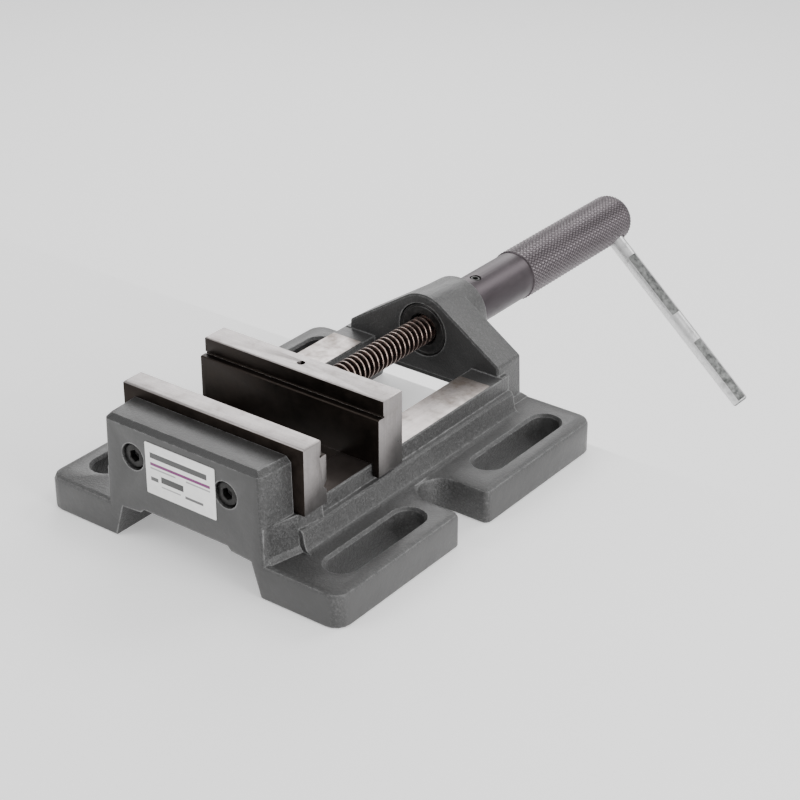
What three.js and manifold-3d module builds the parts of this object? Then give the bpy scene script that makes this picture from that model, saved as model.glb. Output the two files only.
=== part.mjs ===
// Drill press vise: one casting on two slotted feet, a bolted fixed jaw plate, a sliding jaw kept
// down on its rails from below, and a trapezoidal spindle driven by a knurled sleeve handle.
// Millimetres, +Z up. X runs across the jaws, +Y from the fixed jaw towards the handle.
import * as THREE from 'three';
import { mergeVertices } from 'three/addons/utils/BufferGeometryUtils.js';
import Module from 'manifold-3d';

const wasm = await Module();
wasm.setup();

// ---------------------------------------------------------------- driving dimensions
const GAP = 0.3;             // clearance between neighbouring parts
const JAW_LENGTH = 120;      // jaw length across the vise
const BASE_LENGTH = 227.5;   // casting, front to back
const BASE_WIDTH = 198;      // over both feet
const FOOT_HEIGHT = 19.75;
const FOOT_EDGE = 2.9;       // chamfer round the top of the feet
const FOOT_CORNER = 9;
const SLOT_WIDTH = 17;       // bolt slots
const SLOT_LENGTH = 71;      // wall to wall
const SLOT_RIM = 1.5;
const SLOT_SETBACK = 10.5;   // outer wall of a slot from the side of the foot
const FRONT_SLOT_START = 17.8;
const REAR_SLOT_END = 13.2;  // from the back of the foot
const NOTCH_Y = 112.4;       // bolt notch in each side
const NOTCH_HALF = 12;
const NOTCH_DEPTH = 33.5;
const RAIL_TOP = 41.6;
const RAIL_INNER = 34;
const RAIL_WIDTH = 21.5;
const RAIL_THICK = 12;
const LEDGE_DROP = 10.1;     // step on the outside of the rails, below their top
const RUNOUT = 11.7;         // unmachined end of each rail
const BLOCK_TOP = 71.8;      // fixed jaw block
const BLOCK_BACK = 22.2;
const BLOCK_EDGE = 2.9;
const BLOCK_HALF = 52.3;     // at the top; the sides lean out towards the feet
const BLOCK_SHIFT = -1;      // the mould sets the block a little to one side
const BLOCK_LEAN = 1.6;
const SHELF_Z = 40;          // seat of the fixed jaw plate
const JAW_TOP = 78;
const PLATE_THICK = 17.4;
const STRIP_STEP = 4;        // set-back of the top strip of each jaw
const STRIP_HEIGHT = 9.6;
const VEE_HEIGHT = 9;        // groove of the fixed jaw above its seat
const LIP_DEPTH = 7.1;       // the moving jaw reaches this far down outside the rails
const OPENING = 41.7;        // jaw gap as drawn
const MJAW_THICK = 19.6;
const SPINDLE_Z = 55.2;
const SPINDLE_D = 16;        // trapezoidal thread, left hand
const SPINDLE_PITCH = 4;
const SPINDLE_REAR = 68;     // spindle end behind the bracket's front
const THREAD_SEG = 14;
const THREAD_CLEAR = 0.35;
const BRACKET_INSET = 27.5;  // front of the rear bracket from the back of the casting
const BRACKET_THICK = 23.8;
const BRACKET_HALF = 52.2;
const BRACKET_EDGE = 0.9;
const BRACKET_DRAFT = 0.8;   // the bracket and its boss get smaller towards the back
const SHOULDER_Z = 46.5;
const BOSS_R = 21.5;
const BOSS_LENGTH = 35.6;
const WEB_Z = 24.7;          // underside of the bracket
const NUT_WALL = 3;
const JOURNAL_STEP = 1.7;
const FLANGE_RIM = 3.1;
const FLANGE_T = 3.4;
const THRUST_T = 2;
const SHANK_LEN = 24;
const HANDLE_WALL = 3.5;
const KNURL_RISE = 0.9;
const HANDLE_LENGTH = 168.8;
const SMOOTH_LENGTH = 54.8;  // of the handle, ahead of its knurl
const BAR_FROM_END = 15;
const BAR_D = 10;
const BAR_ANGLE = -41.2;     // degrees from +X about the spindle
const BAR_OUT = 141.9;       // free end from the spindle axis
const BAR_FLAT = 1;          // depth of the two pairs of flats
const BAR_FLATS = [[28, 73], [95, 140]];
const SCREW_D = 8;           // fixed jaw screws
const SCREW_X = 31.1;
const SCREW_Z = 52.4;
const SCREW_SHIFT = -2.6;    // middle of the two holes from the middle of the block
const HEAD_FACE = 1.2;       // screw head below the block's face
const WASHER_T = 2;
const KEEPER_T = 5;
const KEEPER_SCREW_D = 6;
const KEEPER_SCREW_X = 18;
const PIN_D = 4;
const SET_SCREW_D = 6;
const SET_SCREW_AT = 13.2;   // behind the front of the handle
const SET_SCREW_ANGLE = 5.5; // degrees from upright, towards +X
const LABEL_W = 46.5;
const LABEL_H = 29.4;
const LABEL_X = -1.2;
const LABEL_Z = 50.2;
const LABEL_T = 0.4;

// ---------------------------------------------------------------- derived dimensions
const FOOT_HALF = BASE_WIDTH / 2;
const SLOT_X = FOOT_HALF - SLOT_SETBACK - SLOT_WIDTH / 2;
const FRONT_SLOT_Y = FRONT_SLOT_START + SLOT_LENGTH / 2;
const REAR_SLOT_Y = BASE_LENGTH - REAR_SLOT_END - SLOT_LENGTH / 2;
const RAIL_OUTER = RAIL_INNER + RAIL_WIDTH;
const RAIL_BOT = RAIL_TOP - RAIL_THICK;
const LEDGE_Z = RAIL_TOP - LEDGE_DROP;
const JAW_FLOOR = RAIL_TOP + GAP;
const LIP_Z = JAW_FLOOR - LIP_DEPTH;
const JAW_HALF = JAW_LENGTH / 2;
const FIXED_FACE = BLOCK_BACK + GAP + PLATE_THICK;
const MJAW_Y = FIXED_FACE + OPENING;
const MJAW_BACK = MJAW_Y + MJAW_THICK;
const TONGUE = RAIL_INNER - 2 * GAP;
const KEEPER_Y = MJAW_Y + 2 + (MJAW_THICK - 2) / 2;
const WALL_BACK = FIXED_FACE - 2;
const screwX = (k) => SCREW_SHIFT + k * SCREW_X;
const HEAD_D = 1.625 * SCREW_D;
const CBORE_D = 1.875 * SCREW_D;
const CBORE_DEPTH = HEAD_FACE + SCREW_D + WASHER_T + 2 * GAP;
const BRACKET_Y = BASE_LENGTH - BRACKET_INSET;
const BRACKET_BACK = BRACKET_Y + BRACKET_THICK;
const BOSS_BACK = BRACKET_Y + BOSS_LENGTH;
const SHANK_D = SPINDLE_D + 2 * NUT_WALL;
const JOURNAL_D = SHANK_D + 2 * JOURNAL_STEP;
const FLANGE_D = JOURNAL_D + 2 * FLANGE_RIM;
const FLANGE_Y = BRACKET_Y + GAP;
const COUNTER_DEPTH = FLANGE_T + THRUST_T + 3 * GAP;
const SLEEVE_Y = BOSS_BACK + 2 * GAP;
const SHANK_END = SLEEVE_Y + SHANK_LEN;
const SET_TIP = SHANK_D / 2 - 2;
const HANDLE_D = SHANK_D + 2 * HANDLE_WALL;
const KNURL_D = HANDLE_D + 2 * KNURL_RISE;
const KNURL_Y = SLEEVE_Y + SMOOTH_LENGTH;
const HANDLE_END = SLEEVE_Y + HANDLE_LENGTH;
const HANDLE_BORE = SPINDLE_D + 8 * GAP;
const BAR_Y = HANDLE_END - BAR_FROM_END;
const PIN_Y = (MJAW_Y + STRIP_STEP + MJAW_BACK) / 2;
const TIP_D = SPINDLE_D - SPINDLE_PITCH;
const TIP_Y = PIN_Y - 5.5;
const SPINDLE_END = BRACKET_Y + SPINDLE_REAR;

// ---------------------------------------------------------------- geometry helpers
// Outlines are drawn as (u, v) and stretched along w; each frame says where u, v and w point.
const ALONG_X = new THREE.Matrix4().set(0, 0, 1, 0, 1, 0, 0, 0, 0, 1, 0, 0, 0, 0, 0, 1);
const ALONG_Y = new THREE.Matrix4().set(1, 0, 0, 0, 0, 0, 1, 0, 0, 1, 0, 0, 0, 0, 0, 1);
const ALONG_Z = new THREE.Matrix4();

function toSolid(geometry) {
  const bare = new THREE.BufferGeometry();
  bare.setAttribute('position', geometry.getAttribute('position').clone());
  if (geometry.index) bare.setIndex(geometry.index.clone());
  const g = mergeVertices(bare, 1e-4);
  const corners = g.index.array, at = g.getAttribute('position').array;
  const triVerts = [];
  const [p, q, r] = [new THREE.Vector3(), new THREE.Vector3(), new THREE.Vector3()];
  let volume = 0;
  for (let i = 0; i < corners.length; i += 3) {
    const [a, b, c] = [corners[i], corners[i + 1], corners[i + 2]];
    if (a === b || b === c || a === c) continue;
    triVerts.push(a, b, c);
    volume += p.fromArray(at, 3 * a).dot(q.fromArray(at, 3 * b).cross(r.fromArray(at, 3 * c)));
  }
  if (volume < 0) triVerts.reverse();
  return new wasm.Manifold(new wasm.Mesh({
    numProp: 3,
    vertProperties: new Float32Array(at),
    triVerts: new Uint32Array(triVerts),
  }));
}

function fromTriangles(points, faces) {
  const g = new THREE.BufferGeometry();
  g.setAttribute('position', new THREE.Float32BufferAttribute(points.flat(), 3));
  g.setIndex(faces.flat());
  return toSolid(g);
}

const toShape = (outline) => new THREE.Shape(outline.map(([u, v]) => new THREE.Vector2(u, v)));

// A straight bar with the given outline from w0 to w1.
const prism = (outline, w0, w1, frame) => toSolid(new THREE.ExtrudeGeometry(toShape(outline),
  { depth: w1 - w0, bevelEnabled: false }).translate(0, 0, w0).applyMatrix4(frame));

const box = (x0, x1, y0, y1, z0, z1) => toSolid(new THREE.BoxGeometry(x1 - x0, y1 - y0, z1 - z0)
  .translate((x0 + x1) / 2, (y0 + y1) / 2, (z0 + z1) / 2));

// A turned solid: profile lists [radius, w] from one end to the other.
function turned(profile, frame, n = 32, cu = 0, cv = 0) {
  const ends = [[0, profile[0][1]], ...profile, [0, profile[profile.length - 1][1]]];
  const lathe = new THREE.LatheGeometry(ends.map(([r, w]) => new THREE.Vector2(r, w)), n);
  return toSolid(lathe.rotateX(Math.PI / 2).translate(cu, cv, 0).applyMatrix4(frame));
}

// A tapered solid: sections are [outline, w] pairs with equal point counts, joined and capped.
function loft(sections, frame) {
  const n = sections[0][0].length, last = sections.length - 1;
  const points = sections.flatMap(([outline, w]) => outline.map(([u, v]) =>
    new THREE.Vector3(u, v, w).applyMatrix4(frame).toArray()));
  const faces = [];
  for (let k = 0; k < last; k++) {
    for (let i = 0; i < n; i++) {
      const j = (i + 1) % n;
      const [a, b, c, d] = [k * n + i, k * n + j, (k + 1) * n + j, (k + 1) * n + i];
      faces.push([a, b, c], [a, c, d]);
    }
  }
  for (const [k, flip] of [[0, true], [last, false]]) {
    const flat = sections[k][0].map(([u, v]) => new THREE.Vector2(u, v));
    const ccw = !THREE.ShapeUtils.isClockWise(flat);
    for (const face of THREE.ShapeUtils.triangulateShape(flat, [])) {
      const cap = face.map((i) => k * n + i);
      faces.push(flip === ccw ? cap.reverse() : cap);
    }
  }
  return fromTriangles(points, faces);
}

const rect = (u0, v0, u1, v1) => [[u0, v0], [u1, v0], [u1, v1], [u0, v1]];
const circle = (r, n = 32, cu = 0, cv = 0) => new THREE.EllipseCurve(cu, cv, r, r)
  .getPoints(n).slice(0, n).map((p) => [p.x, p.y]);
const mirrorX = (solid) => solid.mirror([1, 0, 0]);

// Move every edge of a counter-clockwise outline inwards by d.
function inset(outline, d) {
  const n = outline.length;
  return outline.map((p, i) => {
    const a = outline[(i + n - 1) % n], b = outline[(i + 1) % n];
    const e = [p[0] - a[0], p[1] - a[1]], f = [b[0] - p[0], b[1] - p[1]];
    const le = Math.hypot(...e), lf = Math.hypot(...f);
    const m = [-e[1] / le - f[1] / lf, e[0] / le + f[0] / lf];
    const s = (2 * d) / (m[0] * m[0] + m[1] * m[1]);
    return [p[0] + m[0] * s, p[1] + m[1] * s];
  });
}

// Replace each corner of a counter-clockwise outline by an arc of the given radius.
function rounded(outline, radii, steps = 4) {
  const n = outline.length, out = [];
  outline.forEach((p, i) => {
    const r = Array.isArray(radii) ? radii[i] : radii;
    if (!r) { out.push(p); return; }
    const a = outline[(i + n - 1) % n], b = outline[(i + 1) % n];
    const e = [a[0] - p[0], a[1] - p[1]], f = [b[0] - p[0], b[1] - p[1]];
    const le = Math.hypot(...e), lf = Math.hypot(...f);
    const eu = e.map((x) => x / le), fu = f.map((x) => x / lf);
    const half = Math.acos(eu[0] * fu[0] + eu[1] * fu[1]) / 2;
    const t = r / Math.tan(half), c = r / Math.sin(half);
    const m = [eu[0] + fu[0], eu[1] + fu[1]];
    const lm = Math.hypot(...m);
    const centre = [p[0] + (m[0] / lm) * c, p[1] + (m[1] / lm) * c];
    const s0 = [p[0] + eu[0] * t - centre[0], p[1] + eu[1] * t - centre[1]];
    const s1 = [p[0] + fu[0] * t - centre[0], p[1] + fu[1] * t - centre[1]];
    let a0 = Math.atan2(s0[1], s0[0]), a1 = Math.atan2(s1[1], s1[0]);
    if (a1 - a0 > Math.PI) a1 -= 2 * Math.PI;
    if (a0 - a1 > Math.PI) a1 += 2 * Math.PI;
    for (let k = 0; k <= steps; k++) {
      const t2 = a0 + ((a1 - a0) * k) / steps;
      out.push([centre[0] + r * Math.cos(t2), centre[1] + r * Math.sin(t2)]);
    }
  });
  return out;
}

// Left-hand trapezoidal thread round the spindle axis, grown by clear on every flank.
function thread(y0, y1, clear = 0) {
  const p = SPINDLE_PITCH, n = THREAD_SEG;
  const crest = SPINDLE_D / 2 + clear, root = SPINDLE_D / 2 - p / 2 - 0.25 + clear;
  const w = clear / p;
  const steps = [[root, 0], [root, 0.37 - w * 2], [crest, 0.5 - w], [crest, 0.87 + w]];
  steps[0][1] = w;
  const turns = Math.ceil((y1 - y0) / p) + 3;
  const start = Math.floor((y0 - BRACKET_Y) / p - 1.5) * p + BRACKET_Y;
  const rows = 4 * turns;
  const index = new Map(), points = [], faces = [];
  const id = (i, j) => {
    if (i === n) { i = 0; j += 4; }
    const key = i * 100000 + j;
    if (!index.has(key)) {
      const [r, off] = steps[j % 4];
      const a = (-2 * Math.PI * i) / n;
      index.set(key, points.length);
      points.push([r * Math.sin(a), start + p * (Math.floor(j / 4) + off + i / n),
        SPINDLE_Z + r * Math.cos(a)]);
    }
    return index.get(key);
  };
  for (let i = 0; i < n; i++) {
    for (let j = 0; j < rows; j++) {
      const [a, b, c, d] = [id(i, j), id(i + 1, j), id(i + 1, j + 1), id(i, j + 1)];
      faces.push([a, b, c], [a, c, d]);
    }
  }
  const capEnd = (j0, flip) => {
    const loop = [];
    for (let i = 0; i <= n; i++) loop.push(id(i, j0));
    for (let j = j0 + 3; j > j0; j--) loop.push(id(0, j));
    const hub = points.push([0, start + (p * j0) / 4 + p / 2, SPINDLE_Z]) - 1;
    loop.forEach((a, k) => {
      const b = loop[(k + 1) % loop.length];
      faces.push(flip ? [hub, b, a] : [hub, a, b]);
    });
  };
  capEnd(0, true);
  capEnd(rows, false);
  const raw = fromTriangles(points, faces);
  return raw.intersect(turned([[crest + 5, y0], [crest + 5, y1]], ALONG_Y, 8, 0, SPINDLE_Z));
}

const cylY = (d, y0, y1, n = 32, x = 0, z = SPINDLE_Z) =>
  turned([[d / 2, y0], [d / 2, y1]], ALONG_Y, n, x, z);
const cylZ = (d, z0, z1, n = 24, x = 0, y = 0) =>
  turned([[d / 2, z0], [d / 2, z1]], ALONG_Z, n, x, y);

// ---------------------------------------------------------------- the casting
function basePlan() {
  const F = FOOT_HALF, L = BASE_LENGTH, h = NOTCH_HALF;
  const c = F - NOTCH_DEPTH + h;
  const side = [];
  side.push([F, NOTCH_Y - h]);
  for (let k = 0; k <= 10; k++) {
    const a = -Math.PI / 2 - (Math.PI * k) / 10;
    side.push([c + h * Math.cos(a), NOTCH_Y + h * Math.sin(a)]);
  }
  side.push([F, NOTCH_Y + h]);
  const right = [[F, 0], ...side, [F, L]];
  const left = right.map(([x, y]) => [-x, y]).reverse();
  const radii = right.map((_, i) => {
    if (i === 0 || i === right.length - 1) return FOOT_CORNER;
    return i === 1 || i === right.length - 2 ? 4 : 0;
  });
  return rounded([...right, ...left], [...radii, ...[...radii].reverse()]);
}

function slotCutter(cx, cy) {
  const r = SLOT_WIDTH / 2, h = SLOT_LENGTH / 2;
  const plan = rounded(rect(cx - r, cy - h, cx + r, cy + h), r - 0.01, 6);
  const z = FOOT_HEIGHT;
  return loft([[plan, -1], [plan, z - SLOT_RIM], [inset(plan, -SLOT_RIM), z],
    [inset(plan, -SLOT_RIM), z + 1]], ALONG_Z);
}

function feet() {
  const plan = basePlan();
  const slab = loft([[inset(plan, 0.8), 0], [plan, 0.8], [plan, FOOT_HEIGHT - FOOT_EDGE],
    [inset(plan, 0.3 * FOOT_EDGE), FOOT_HEIGHT - 0.3 * FOOT_EDGE],
    [inset(plan, FOOT_EDGE), FOOT_HEIGHT]], ALONG_Z);
  const cutters = [];
  for (const x of [-SLOT_X, SLOT_X]) for (const y of [FRONT_SLOT_Y, REAR_SLOT_Y]) {
    cutters.push(slotCutter(x, y));
  }
  return slab.subtract(wasm.Manifold.union(cutters));
}

function railSide() {
  const o = RAIL_OUTER;
  const outline = [[o - 12, 4], [o + 9, 4], [o + 8.5, FOOT_HEIGHT], [o + 5.7, FOOT_HEIGHT + 1],
    [o + 4.4, FOOT_HEIGHT + 3.2], [o + 3, LEDGE_Z - 1], [o + 2, LEDGE_Z], [o, LEDGE_Z + 0.6],
    [o, RAIL_TOP - 0.6], [o - 0.6, RAIL_TOP], [RAIL_INNER + 0.6, RAIL_TOP],
    [RAIL_INNER, RAIL_TOP - 0.6], [RAIL_INNER, RAIL_BOT], [o - 12, RAIL_BOT]];
  return prism(outline, BLOCK_BACK, BRACKET_Y + 6, ALONG_Y);
}

function fixedBlock() {
  const plan = (half) => rounded([[half - 0.5, 0], [half + 1, BLOCK_BACK], [-half - 1, BLOCK_BACK],
    [-half + 0.5, 0]], [3.6, 0, 0, 3.6], 4);
  const top = BLOCK_TOP, half = BLOCK_HALF, foot = half + BLOCK_LEAN;
  const upper = loft([[plan(foot), FOOT_HEIGHT - 9], [plan(half), top - BLOCK_EDGE],
    [plan(half).map(([x, y]) => [x * (1 - BLOCK_EDGE / half), Math.max(y, BLOCK_EDGE)]), top]],
  ALONG_Z);
  const wall = box(-half, half, 1, WALL_BACK, 8, SHELF_Z);
  const skirt = (w) => [[foot + w + 2, 4], [foot + w + 1.6, FOOT_HEIGHT],
    [foot + w - 0.6, FOOT_HEIGHT + 3], [foot - 1 + w * 0.9, LEDGE_Z], [foot - 1.4 + w * 0.8, SHELF_Z]];
  const ring = (w) => [...skirt(w), ...skirt(w).reverse().map(([x, z]) => [-x, z])];
  const flank = loft([[ring(-1.2), 3], [ring(0.6), 12], [ring(4), 26], [ring(5.4), FIXED_FACE - GAP]],
    ALONG_Y);
  return upper.add(wall).translate([BLOCK_SHIFT, 0, 0]).add(flank);
}

function rearBracket() {
  const B = BRACKET_HALF, s = SHOULDER_Z, r = BOSS_R;
  const dx = B, dz = s - SPINDLE_Z;
  const dist = Math.hypot(dx, dz);
  const at = Math.atan2(dz, dx) + Math.acos(r / dist);
  const arch = Array.from({ length: 13 }, (_, k) => {
    const a = at + ((Math.PI - 2 * at) * k) / 12;
    return [r * Math.cos(a), SPINDLE_Z + r * Math.sin(a)];
  });
  const outline = rounded([[B + 1.5, 8], [B, s], ...arch, [-B, s], [-B - 1.5, 8]],
    [0, 3, ...arch.map(() => 0), 3, 0]);
  const e = BRACKET_EDGE;
  const slab = loft([[inset(outline, e), BRACKET_Y], [outline, BRACKET_Y + e],
    [inset(outline, BRACKET_DRAFT), BRACKET_BACK - 1.6],
    [inset(outline, BRACKET_DRAFT + 1.6), BRACKET_BACK]], ALONG_Y);
  const small = r - 1.5 * BRACKET_DRAFT;
  const boss = turned([[r - e, BRACKET_Y], [r, BRACKET_Y + e], [small, BOSS_BACK - 2],
    [small - 0.6, BOSS_BACK - 0.6], [small - 2, BOSS_BACK]], ALONG_Y, 40, 0, SPINDLE_Z);
  const hem = loft([[rect(-B - 4, BRACKET_Y + 1, B + 4, BRACKET_BACK + 2.4), FOOT_HEIGHT - 4],
    [rect(-B - 3.2, BRACKET_Y + 1, B + 3.2, BRACKET_BACK + 1.6), FOOT_HEIGHT + 0.3],
    [rect(-B - 0.9, BRACKET_Y + 2, B + 0.9, BRACKET_BACK - 0.8), FOOT_HEIGHT + 2.6]], ALONG_Z);
  return slab.add(boss).add(hem);
}

function viseBody() {
  const right = railSide();
  const solid = wasm.Manifold.union([feet(), right, mirrorX(right), fixedBlock(), rearBracket()]);
  const low = FOOT_HEIGHT;
  const arch = [[-50, -1], [50, -1], [43.6, low], [30.6, low + 1], [28.4, low + 3.4],
    [-28.4, low + 3.4], [-30.6, low + 1], [-43.6, low]];
  const seat = box(-FOOT_HALF, FOOT_HALF, BLOCK_BACK, FIXED_FACE + GAP, SHELF_Z, BLOCK_TOP + 9);
  const tunnel = prism(arch, -1, BASE_LENGTH + 1, ALONG_Y);
  const inner = prism([[-50, -1], [50, -1], [44.5, RAIL_BOT], [-44.5, RAIL_BOT]],
    WALL_BACK, BRACKET_Y + 4, ALONG_Y);
  const webRoom = prism([[-50, -1], [50, -1], [43, WEB_Z], [-43, WEB_Z]], BRACKET_Y - 2,
    BASE_LENGTH + 1, ALONG_Y);
  const between = box(-RAIL_INNER, RAIL_INNER, WALL_BACK, BRACKET_Y, 10, RAIL_TOP + 1);
  const runout = box(-RAIL_OUTER - 1, RAIL_OUTER + 1, BRACKET_Y - RUNOUT, BRACKET_Y, RAIL_TOP - 0.5,
    RAIL_TOP + 0.5);
  const bore = turned([[FLANGE_D / 2 + GAP, BRACKET_Y - 1],
    [FLANGE_D / 2 + GAP, BRACKET_Y + COUNTER_DEPTH]], ALONG_Y, 36, 0, SPINDLE_Z)
    .add(cylY(JOURNAL_D + 2 * GAP, BRACKET_Y, BOSS_BACK + 1, 36));
  const screws = [-1, 1].map((k) => turned([[CBORE_D / 2, -1], [CBORE_D / 2, CBORE_DEPTH],
    [SCREW_D / 2 + 0.5, CBORE_DEPTH + 0.01], [SCREW_D / 2 + 0.5, BLOCK_BACK + 1]], ALONG_Y, 28,
  screwX(k), SCREW_Z));
  return solid.subtract(wasm.Manifold.union([seat, tunnel, inner, webRoom, between, runout,
    bore, ...screws]));
}

// ---------------------------------------------------------------- fixed jaw
// Cross-section shared by both jaws: y is measured from the gripping face, back is its thickness.
function jawSection(back, floor) {
  const z1 = JAW_TOP, zs = JAW_TOP - STRIP_HEIGHT, g = 1.1;
  const vz = JAW_FLOOR + VEE_HEIGHT;
  return [[0, floor], [back, floor], [back, z1 - 0.8], [back - 0.8, z1], [STRIP_STEP + 0.5, z1],
    [STRIP_STEP, z1 - 0.5], [STRIP_STEP, zs + g], [STRIP_STEP + g, zs + g * 0.5],
    [STRIP_STEP + g * 0.6, zs - g * 0.4], [STRIP_STEP - 0.4, zs], [0.5, zs], [0, zs - 0.5],
    [0, vz + 2.6], [2.4, vz], [0, vz - 2.6]];
}

function jawBlank(face, back, half, vee, floor) {
  const flip = vee ? -1 : 1;
  const section = jawSection(back, floor).filter(([y], i) => vee || i !== 13)
    .map(([y, z]) => [face + flip * y, z]);
  const e = 0.5;
  const blank = prism(section, -half, half, ALONG_X);
  const ends = prism([[-half, floor + e], [-half + e, floor], [half - e, floor], [half, floor + e],
    [half, JAW_TOP - e], [half - e, JAW_TOP], [-half + e, JAW_TOP], [-half, JAW_TOP - e]],
  face - 40, face + 40, ALONG_Y);
  return blank.intersect(ends);
}

function fixedJawPlate() {
  const back = BLOCK_BACK + GAP;
  const blank = jawBlank(FIXED_FACE, FIXED_FACE - back, JAW_HALF, true, SHELF_Z + GAP);
  const holes = [-1, 1].map((k) => turned([[SCREW_D / 2 + GAP, back - 1],
    [SCREW_D / 2 + GAP, back + 9.6], [1, back + 11.6]], ALONG_Y, 20, screwX(k), SCREW_Z));
  return blank.subtract(wasm.Manifold.union(holes));
}

function socketScrewY(x, z, y, d, length) {
  const head = turned([[0.8125 * d - 0.6, y], [0.8125 * d, y + 0.6], [0.8125 * d, y + d],
    [d / 2, y + d + 0.01], [d / 2, y + d + length - 0.8], [d / 2 - 0.8, y + d + length]],
  ALONG_Y, 24, x, z);
  const hex = turned([[(0.75 * d) / 2 / Math.cos(Math.PI / 6), y - 1],
    [(0.75 * d) / 2 / Math.cos(Math.PI / 6), y + 0.5 * d]], ALONG_Y, 6, x, z);
  return head.subtract(hex);
}

const fixedJawScrew = (k) =>
  socketScrewY(screwX(k), SCREW_Z, HEAD_FACE, SCREW_D, BLOCK_BACK + 8.6 - HEAD_FACE - SCREW_D);

function lockWasher(k) {
  const y = HEAD_FACE + SCREW_D + GAP;
  const ring = cylY(HEAD_D - 0.2, y, y + WASHER_T, 28, screwX(k), SCREW_Z)
    .subtract(cylY(SCREW_D + 2 * GAP, y - 1, y + WASHER_T + 1, 28, screwX(k), SCREW_Z));
  const split = box(-0.5, 0.5, y - 1, y + WASHER_T + 1, 0, HEAD_D)
    .rotate([0, 20, 0]).translate([screwX(k), 0, SCREW_Z]);
  return ring.subtract(split);
}

const nameLabel = () => prism(rounded(rect(LABEL_X - LABEL_W / 2, LABEL_Z - LABEL_H / 2,
  LABEL_X + LABEL_W / 2, LABEL_Z + LABEL_H / 2), 0.6, 2), -LABEL_T - 0.05, -0.05, ALONG_Y);

// ---------------------------------------------------------------- moving jaw
function movingJaw() {
  const slab = jawBlank(MJAW_Y, MJAW_THICK, JAW_HALF + GAP, false, LIP_Z);
  const saddle = box(-RAIL_OUTER - 2 * GAP, RAIL_OUTER + 2 * GAP, MJAW_Y - 1, MJAW_BACK + 1, 0,
    JAW_FLOOR);
  const tongue = box(-TONGUE, TONGUE, MJAW_Y + 2, MJAW_BACK, RAIL_BOT + GAP, JAW_FLOOR + 2);
  const socket = cylY(TIP_D + 2 * GAP, TIP_Y - 0.5, MJAW_BACK + 1, 24);
  const pinHole = cylZ(PIN_D + 2 * GAP, SPINDLE_Z - TIP_D / 2 - 4, JAW_TOP + 1, 16, 0, PIN_Y);
  const taps = [-1, 1].map((k) => turned([[KEEPER_SCREW_D / 2 + GAP, RAIL_BOT - 1],
    [KEEPER_SCREW_D / 2 + GAP, JAW_FLOOR - 1], [0.8, JAW_FLOOR + 0.6]], ALONG_Z, 16,
  k * KEEPER_SCREW_X, KEEPER_Y));
  return slab.subtract(saddle).add(tongue).subtract(wasm.Manifold.union([socket, pinHole, ...taps]));
}

function keeperPlate() {
  const y0 = MJAW_Y + 2.5, y1 = MJAW_BACK - 0.5, x = RAIL_INNER + 8.5;
  const plan = rounded(rect(-x, y0, x, y1), 2, 2);
  const z1 = RAIL_BOT - GAP, z0 = z1 - KEEPER_T;
  const plate = loft([[inset(plan, 0.5), z0], [plan, z0 + 0.5], [plan, z1]], ALONG_Z);
  const holes = [-1, 1].map((k) => cylZ(KEEPER_SCREW_D + 4 * GAP, z0 - 1, z1 + 1, 20,
    k * KEEPER_SCREW_X, KEEPER_Y));
  return plate.subtract(wasm.Manifold.union(holes));
}

function keeperWasher(k) {
  const z1 = RAIL_BOT - 2 * GAP - KEEPER_T, y = KEEPER_Y;
  const x = k * KEEPER_SCREW_X;
  return cylZ(2 * KEEPER_SCREW_D, z1 - 1.6, z1, 24, x, y)
    .subtract(cylZ(KEEPER_SCREW_D + 2 * GAP, z1 - 3, z1 + 1, 24, x, y));
}

function keeperScrew(k) {
  const z1 = RAIL_BOT - 3 * GAP - KEEPER_T - 1.6, y = KEEPER_Y;
  const x = k * KEEPER_SCREW_X, d = KEEPER_SCREW_D;
  const hex = circle(0.833 * d / Math.cos(Math.PI / 6), 6, x, y);
  const head = loft([[circle(0.833 * d, 6, x, y), z1 - 4], [hex, z1 - 3.6], [hex, z1]], ALONG_Z);
  const shank = turned([[d / 2, z1 - 1], [d / 2, JAW_FLOOR - 4.8], [d / 2 - 0.8, JAW_FLOOR - 4]],
    ALONG_Z, 16, x, y);
  return head.add(shank);
}

function spindle() {
  const tip = turned([[TIP_D / 2 - 0.8, TIP_Y], [TIP_D / 2, TIP_Y + 0.8],
    [TIP_D / 2, MJAW_BACK + 1.5]], ALONG_Y, 24, 0, SPINDLE_Z);
  const cut = thread(MJAW_BACK + 1.2, SPINDLE_END - 5);
  const tail = turned([[SPINDLE_D / 2 - 2.4, SPINDLE_END - 6], [SPINDLE_D / 2 - 2.4, SPINDLE_END - 0.8],
    [SPINDLE_D / 2 - 3.2, SPINDLE_END]], ALONG_Y, 24, 0, SPINDLE_Z);
  const hole = cylZ(PIN_D + GAP, 0, 99, 16, 0, PIN_Y);
  return tip.add(cut).add(tail).subtract(hole);
}

const lockPin = () => turned([[PIN_D / 2 - 0.4, SPINDLE_Z - TIP_D / 2 - 3],
  [PIN_D / 2 - 0.1, SPINDLE_Z - TIP_D / 2 - 2.6], [PIN_D / 2 - 0.1, JAW_TOP - 3.4],
  [PIN_D / 2 - 0.5, JAW_TOP - 3]], ALONG_Z, 16, 0, PIN_Y);

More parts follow.
